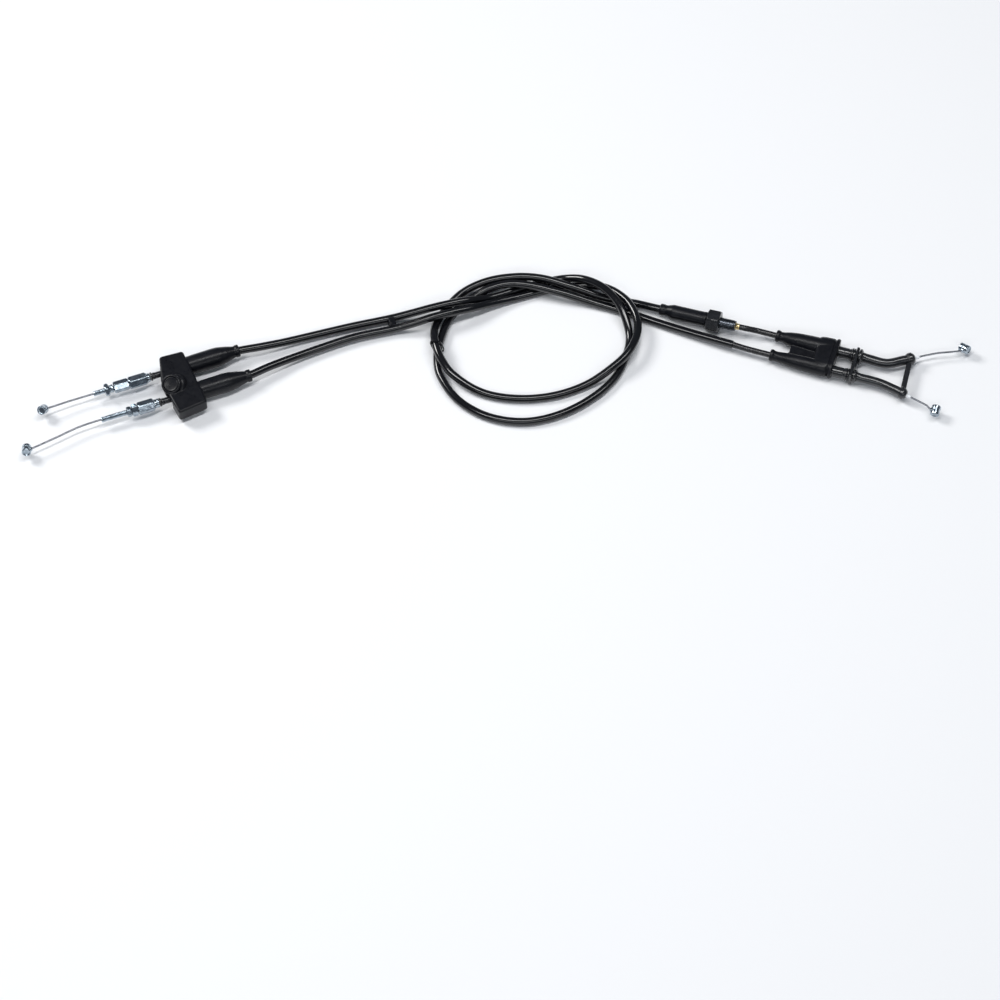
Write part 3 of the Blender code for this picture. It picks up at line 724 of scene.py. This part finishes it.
def make_pull_adjuster():
    place = (PULL_END, THROTTLE_DIR)
    stem = threaded("pull_stem_thread", -43.8, -4.0, 2.15, 0.28, 1.1, *place)
    settle(stem, "pull_stem", "zinc_plate", "pull_adjuster_stem")
    nut = hexagon("pull_lock_nut", -24.5, -21.0, 3.9, 2.25, *place, math.radians(14), 0.6)
    settle(nut, "pull_jam_nut", "zinc_plate", "pull_jam_nut")
    thin = hexagon("pull_second_nut", -20.7, -16.5, 4.7, 2.25, *place, math.radians(30), 0.6)
    settle(thin, "pull_hex", "zinc_plate", "pull_thin_nut")
    body = hexagon("pull_hex_body", -16.2, -3.9, 5.0, 2.25, *place, math.radians(15), 0.9)
    settle(body, "pull_hex", "zinc_plate", "pull_adjuster_hex")
    cap = [(3.4, -3.6), (3.4, -2.4), (3.1, -2.1), (3.1, -1.6), (3.4, -1.3), (3.4, -0.3), (3.1, 0.0)]
    end_nut = lathe("pull_cap_nut", cap, [(2.3, -3.6), (2.3, 0.0)], *place)
    settle(end_nut, "root", "zinc_plate", "pull_end_nut")
    ferrule_and_cover("pull", PULL_END)


def ferrule_and_cover(side, end):
    place = (end, THROTTLE_DIR)
    flange = [(3.0, 0.3), (3.25, 0.5), (3.25, 1.5), (2.7, 1.8)]
    ferrule = lathe(f"{side}_flange", flange, [(1.15, 0.3), (1.15, 1.8)], *place, 0.15)
    settle(ferrule, "root", "black_steel", f"{side}_end_ferrule")
    cover = [(2.6, 2.1), (2.6, 3.4), (2.35, 3.8), (2.35, 20.7)]
    sheath = lathe(f"{side}_front_cover", cover, [(1.15, 2.1), (1.15, 20.7)], *place, 0.2)
    settle(sheath, "root", "thin_cover", f"{side}_front_housing")


# ---- dust cover ----

def sleeve_shapes(side, end, tip, face):
    """The outside and the bore of one tapering sleeve, from the block's face to its tip."""
    shoulder = face + 0.6 * (tip - face)
    outer = [
        (6.8, face - 5), (6.8, face + 1.2), (7.0, face + 4.0), (7.25, shoulder - 4), (7.0, shoulder),
        (5.7, shoulder + 6), (4.5, tip - 5), (4.1, tip - 3.4), (4.7, tip - 2.6), (4.7, tip - 0.3), (4.3, tip),
    ]
    solid = lathe(f"{side}_sleeve", outer, None, end, THROTTLE_DIR, 1.2, 72)
    bore = [
        (6.1, face - 30), (6.1, face - 1), (5.8, face + 1), (5.8, shoulder - 1),
        (3.7, shoulder + 6), (3.25, tip - 4), (3.25, tip + 3),
    ]
    return solid, lathe(f"{side}_sleeve_bore", bore, None, end, THROTTLE_DIR, 0.3, 64)


def cover_block():
    """The block between the sleeves: drawn in at the bottom, chamfered at the top, its corners rounded."""
    across = UP.cross(THROTTLE_DIR)
    outline = softened(COVER_CORNERS, 2.2, True, 5)
    middle = sum((Vector(point) for point in outline), Vector((0.0, 0.0))) / len(outline)
    levels = (
        (4.4, -8.5), (3.5, -8.4), (2.9, -7.6), (0.5, -4.0), (0.0, -3.0),
        (0.0, 6.1), (0.1, 6.4), (0.8, 7.1), (1.1, 7.2),
    )
    rows = []
    for inset, height in levels:
        row = []
        for point in outline:
            outward = Vector(point) - middle
            x, y = middle + outward * ((outward.length - inset * CORNER_DRAW) / outward.length)
            row.append(COVER_CENTRE + (THROTTLE_DIR * x + across * y + UP * height) * MM)
        rows.append(row)
    return skin("cover_block", rows, False, cap_ends=True)


def make_dust_cover():
    across = UP.cross(THROTTLE_DIR)
    face = (COVER_CENTRE - RETURN_END).dot(THROTTLE_DIR) / MM + COVER_REACH
    lag = (RETURN_END - PULL_END).dot(THROTTLE_DIR) / MM
    return_solid, return_bore = sleeve_shapes("return", RETURN_END, 68.7, face)
    pull_solid, pull_bore = sleeve_shapes("pull", PULL_END, 70.5, face + lag)

    def on_cover(x, y, z):
        return COVER_CENTRE + (THROTTLE_DIR * x + across * y + UP * z) * MM

    boss_axis = (THROTTLE_DIR * -0.34 + across * -0.30 + UP * 0.89).normalized()
    boss_centre = on_cover(-8.0, -1.5, 7.6)
    boss_side = [(8.2, -5.0), (7.5, 1.6), (7.2, 2.6), (6.6, 3.1)]
    boss = lathe("cover_boss", boss_side, None, boss_centre, boss_axis, 0.6)
    hood_side = [(8.4, -4.0), (8.0, 1.4), (7.0, 2.6), (5.6, 3.1)]
    hood = lathe("cover_hood", hood_side, None, on_cover(-5.4, -1.6, 6.2), boss_axis, 0.8)
    well = lathe("cover_well", [(5.75, 1.3), (5.75, 6.0)], None, boss_centre, boss_axis, 0.2)
    added = [return_solid, pull_solid, hood, boss]
    cover = moulded("rubber_dust_cover", cover_block(), added, [return_bore, pull_bore, well], 0.36 * MM)
    settle(cover, "dust_cover", "rubber", "dust_cover")
    face_profile = [(5.5, 1.5), (5.5, 2.6), (5.0, 3.0), (4.3, 2.75), (1.5, 2.5)]
    plug = lathe("rubber_plug", face_profile, None, boss_centre, boss_axis, 0.35)
    settle(plug, "dust_cover", "rubber", "dust_cover_plug")


# ---- in-line adjuster ----

def make_inline_adjuster():
    place = (INLINE_CENTRE, INLINE_DIR)
    outer = [
        (3.9, -40.9), (4.3, -40.3), (4.3, -37.6), (4.0, -36.9), (4.1, -35.4), (5.3, -31.6), (5.5, -30.4),
        (5.4, -28.0), (5.4, -7.4), (5.6, -6.6), (5.6, -5.4), (5.2, -4.7),
    ]
    bore = [(3.3, -40.9), (3.3, -34.0), (4.4, -31.0), (4.4, -4.7)]
    boot = lathe("inline_rubber_boot", outer, bore, *place, 0.5, 72)
    settle(boot, "inline_barrel", "rubber", "inline_boot")
    collar = hexagon("inline_hex_collar", -4.3, 5.4, 9.0, 4.3, *place, 0.0, 1.0)
    settle(collar, "inline_collar", "black_steel", "inline_collar")
    outer = [(3.9, -4.2), (4.0, -3.6), (4.0, 15.8), (3.75, 16.2), (3.75, 16.6), (3.9, 16.9), (3.7, 17.3)]
    sleeve = lathe("inline_steel_sleeve", outer, [(2.85, -4.2), (2.85, 17.3)], *place, 0.2)
    settle(sleeve, "inline_barrel", "sleeve_steel", "inline_sleeve")
    stem = threaded("inline_brass_stem", -3.0, 20.3, 2.5, 0.25, 1.15, *place)
    settle(stem, "root", "brass", "inline_stem")


# ---- rear housings and carburettor boot ----

def make_rear_housings():
    start = along(INLINE_CENTRE, INLINE_DIR, 20.6)
    lead = along(INLINE_CENTRE, INLINE_DIR, 24.0)
    joins = [along(PULL_CARB, CARB_DIR, place) for place in (-14.0, -11.0, 10.0, 30.0, 56.5)]
    run = evenly(smooth_points([start, lead] + joins), 160)
    settle(swept("pull_rear_cover", run, THIN_COVER_RADIUS), "root", "thin_cover", "pull_rear_housing")
    start = RETURN_ROUTE[-1] + (RETURN_ROUTE[-1] - RETURN_ROUTE[-2]).normalized() * 0.3 * MM
    joins = [along(RETURN_CARB, CARB_DIR, place) for place in (-16.0, 10.0, 30.0, 56.5)]
    run = evenly(smooth_points([start] + joins), 140)
    settle(swept("return_rear_cover", run, THIN_COVER_RADIUS), "root", "thin_cover", "return_rear_housing")


def boot_band(middle, side_dir):
    """The band and the lip of the boot: one oval section, wide across the two cables."""
    # Each section's place, half its width and half its height.
    sections = (
        (31.4, 12.6, 3.6), (31.8, 13.8, 4.8), (32.6, 14.8, 5.6), (34.0, 15.5, 6.1), (37.0, 15.9, 6.4),
        (42.6, 16.1, 6.6), (43.4, 16.0, 6.5), (43.8, 15.5, 6.0), (44.6, 15.5, 6.0), (44.9, 16.3, 6.7),
        (45.4, 16.7, 7.0), (46.6, 16.8, 7.0), (47.2, 16.5, 6.8), (47.5, 16.0, 6.3),
    )
    off_middle = 1.7 * MM
    steps = 96
    rows = []
    for place, half, rise in sections:
        centre = along(middle, CARB_DIR, place) + side_dir * off_middle
        row = []
        for step in range(steps):
            angle = math.tau * (step + 0.5) / steps
            shift = math.copysign(half - rise, math.cos(angle))
            offset = side_dir * (shift + rise * math.cos(angle)) + UP * (rise * math.sin(angle))
            row.append(centre + offset * MM)
        rows.append(row)
    return skin("boot_band", rows, False, cap_ends=True)


def make_carb_boot():
    middle = (PULL_CARB + RETURN_CARB) / 2
    side_dir = UP.cross(CARB_DIR)
    base = boot_band(middle, side_dir)
    web_size = Vector((22.0, CARB_SPACING / MM - 3.0, 3.0)) * MM
    nub = [(1.6, -3.0), (1.6, 2.2), (1.1, 3.0)]
    ring = [(5.7, 35.6), (6.2, 36.3), (6.2, 42.4), (5.7, 43.1)]
    added = [
        rounded_block("boot_web", along(middle, CARB_DIR, 24.0), web_size, CARB_DIR, 1.4 * MM, 6),
        lathe("boot_nub", nub, None, along(middle, CARB_DIR, 13.6), UP, 0.4),
        lathe("boot_barrel", ring, None, RETURN_CARB, CARB_DIR, 0.4),
    ]
    cut = []
    for side, start, wide in (("pull", PULL_CARB, 6.7), ("return", RETURN_CARB, 6.0)):
        leg = [
            (4.0, 0.0), (4.5, 0.5), (4.5, 2.4), (3.8, 3.2), (3.75, 5.0),
            (wide - 1.7, 10.0), (wide - 0.8, 16.0), (wide - 0.2, 26.0), (wide, 36.0), (wide - 0.2, 43.0),
        ]
        added.append(lathe(f"{side}_leg", leg, None, start, CARB_DIR, 0.8, 72))
        bore = [(2.45, -3.0), (2.45, 7.0), (3.6, 14.0), (4.6, 34.0), (4.6, 52.0)]
        cut.append(lathe(f"{side}_leg_bore", bore, None, start, CARB_DIR, 0.3, 56))
    ridge = [
        along(RETURN_CARB, CARB_DIR, place) + side_dir * (2.7 * MM) + UP * (rise * MM)
        for place, rise in ((13.0, 4.4), (20.0, 4.9), (27.0, 5.3), (33.0, 5.5))
    ]
    added.append(swept("boot_ridge", evenly(smooth_points(ridge), 30), 0.55 * MM, 16))
    boot = moulded("rubber_carb_boot", base, added, cut, 0.32 * MM)
    settle(boot, "carb_boot", "rubber", "carb_boot")


# ---- bracket, guide tubes and link ----

def make_fittings():
    for side, start, flange, ring in (("pull", PULL_CARB, 5.2, 5.9), ("return", RETURN_CARB, 4.8, 5.0)):
        outer = [
            (3.9, 46.4), (4.1, 46.8), (4.1, 55.2), (3.95, 55.5), (3.95, 56.0), (4.3, 56.4), (4.5, 57.3),
            (flange - 0.4, 57.5), (flange, 57.9), (flange, 58.5), (flange - 0.8, 58.8),
            (flange - 0.8, 59.0), (flange, 59.3), (flange, 60.1), (3.55, 60.2), (3.55, 65.6),
        ]
        bore = [(2.5, 46.4), (2.5, 65.6)]
        socket = lathe(f"{side}_socket", outer, bore, start, CARB_DIR, 0.2, 72)
        if side == "pull":
            drill_socket(socket, start)
        settle(socket, "root", "black_steel", f"{side}_tube_socket")
        nut = [(ring - 0.5, 63.1), (ring, 63.5), (ring, 64.7), (ring - 0.8, 65.3), (ring - 1.3, 65.9)]
        ring_nut = lathe(f"{side}_ring_nut", nut, [(3.8, 63.1), (3.8, 65.9)], start, CARB_DIR, 0.25, 72)
        settle(ring_nut, "root", "black_steel", f"{side}_tube_nut")
    middle = along((PULL_CARB + RETURN_CARB) / 2, CARB_DIR, 61.65)
    size = Vector((2.3 * MM, CARB_SPACING + 9.4 * MM, 11.0 * MM))
    plate = rounded_block("plate_blank", middle, size, CARB_DIR, 0.9 * MM)
    rib = rounded_block("plate_rib", middle, Vector((4.0 * MM, 6.4 * MM, 7.0 * MM)), CARB_DIR, 0.9 * MM)
    cut = [
        lathe(f"{side}_plate_hole", [(3.8, 56.0), (3.8, 66.0)], None, start, CARB_DIR, 0.2)
        for side, start in (("pull", PULL_CARB), ("return", RETURN_CARB))
    ]
    settle(moulded("bracket_plate", plate, [rib], cut, 0.22 * MM), "root", "black_steel", "tube_bracket")


def drill_socket(socket, start):
    """The small inspection hole on top of the socket."""
    place = along(start, CARB_DIR, 53.0)
    drill = lathe("socket_drill", [(0.75, 2.0), (0.75, 6.0)], None, place, UP, 0.1, 24)
    hole = socket.modifiers.new("hole", "BOOLEAN")
    hole.operation = "DIFFERENCE"
    hole.solver = "EXACT"
    hole.object = drill
    piece = evaluated_copy(socket, "socket_cut")
    socket.modifiers.clear()
    socket.data = piece.data
    bpy.data.objects.remove(piece, do_unlink=True)
    bpy.data.objects.remove(drill, do_unlink=True)
    shade(socket.data)


def make_guide_tube(side, start, bend, mouth, outward, radius):
    """A bent tube that starts a little wider, and the rolled nose round its mouth, open on top."""
    lead_in = [along(start, CARB_DIR, place) for place in (66.2, 69.5)]
    lead_out = [along(mouth, outward, place) for place in (-9.0, -4.5, -1.5)]
    run = evenly(smooth_points(lead_in + [bend] + lead_out), 90)

    def swell(share):
        return (radius + 0.35 * max(0.0, 1.0 - share / 0.06)) * MM

    tube = swept(f"{side}_bent_tube", run, radius * MM, 48, TUBE_BORE * MM, swell)
    settle(tube, "root", "black_steel", f"{side}_guide_tube")
    full = radius + 0.75
    profile = [(radius + 0.3, -6.4), (full, -4.8), (full, -2.8), (full - 0.5, -1.2), (full - 1.9, 0.0)]
    blank = lathe(f"{side}_nose_blank", profile, None, mouth, outward, 1.2, 64)
    core = [(radius + 0.1, -8.0), (radius + 0.1, -3.2), (1.5, -2.4), (1.5, 2.0)]
    bore = lathe(f"{side}_nose_bore", core, None, mouth, outward, 0.2)
    slot_place = along(mouth, outward, -0.7)
    slot = lathe(f"{side}_nose_slot", [(1.7, 0.4), (1.7, 6.0)], None, slot_place, UP, 0.1, 40)
    nose = moulded(f"{side}_tube_nose", blank, [], [bore, slot], 0.2 * MM)
    settle(nose, "root", "black_steel")


def make_link():
    pull_end = along(PULL_MOUTH, PULL_MOUTH_DIR, -3.6)
    return_end = along(RETURN_MOUTH, RETURN_MOUTH_DIR, -3.6)
    span = return_end - pull_end
    direction = span.normalized()
    size = Vector((span.length - 8.0 * MM, 4.0 * MM, 3.6 * MM))
    bar = rounded_block("link_blank", (pull_end + return_end) / 2, size, direction, 0.7 * MM)
    rings, cut = [], []
    for middle, outward, radius in (
        (pull_end, PULL_MOUTH_DIR, PULL_TUBE_RADIUS), (return_end, RETURN_MOUTH_DIR, RETURN_TUBE_RADIUS)
    ):
        outer, inner = radius + 1.1, radius + 0.5
        profile = [(outer - 0.2, -1.6), (outer, -1.1), (outer, 1.1), (outer - 0.2, 1.6)]
        rings.append(lathe("link_ring", profile, None, middle, outward, 0.3))
        cut.append(lathe("link_hole", [(inner, -5.0), (inner, 5.0)], None, middle, outward, 0.1))
    settle(moulded("tube_link", bar, rings, cut, 0.22 * MM), "root", "black_steel", "mouth_link")


def make_liners():
    for side, mouth, outward in (
        ("pull", PULL_MOUTH, PULL_MOUTH_DIR), ("return", RETURN_MOUTH, RETURN_MOUTH_DIR)
    ):
        profile = [(1.35, -5.0), (1.35, 2.6), (1.2, 3.5)]
        liner = lathe(f"{side}_white_liner", profile, [(0.95, -5.0), (0.95, 3.5)], mouth, outward, 0.15, 40)
        settle(liner, "root", "liner_white", f"{side}_tube_liner")


def main():
    make_camera()
    make_studio()
    make_floor()
    make_cables(make_clip(), make_tie())
    make_wires()
    make_return_adjuster()
    make_pull_adjuster()
    make_dust_cover()
    make_inline_adjuster()
    make_rear_housings()
    make_carb_boot()
    make_fittings()
    make_guide_tube("pull", PULL_CARB, PULL_TUBE_BEND, PULL_MOUTH, PULL_MOUTH_DIR, PULL_TUBE_RADIUS)
    make_guide_tube("return", RETURN_CARB, RETURN_TUBE_BEND, RETURN_MOUTH, RETURN_MOUTH_DIR, RETURN_TUBE_RADIUS)
    make_link()
    make_liners()


main()
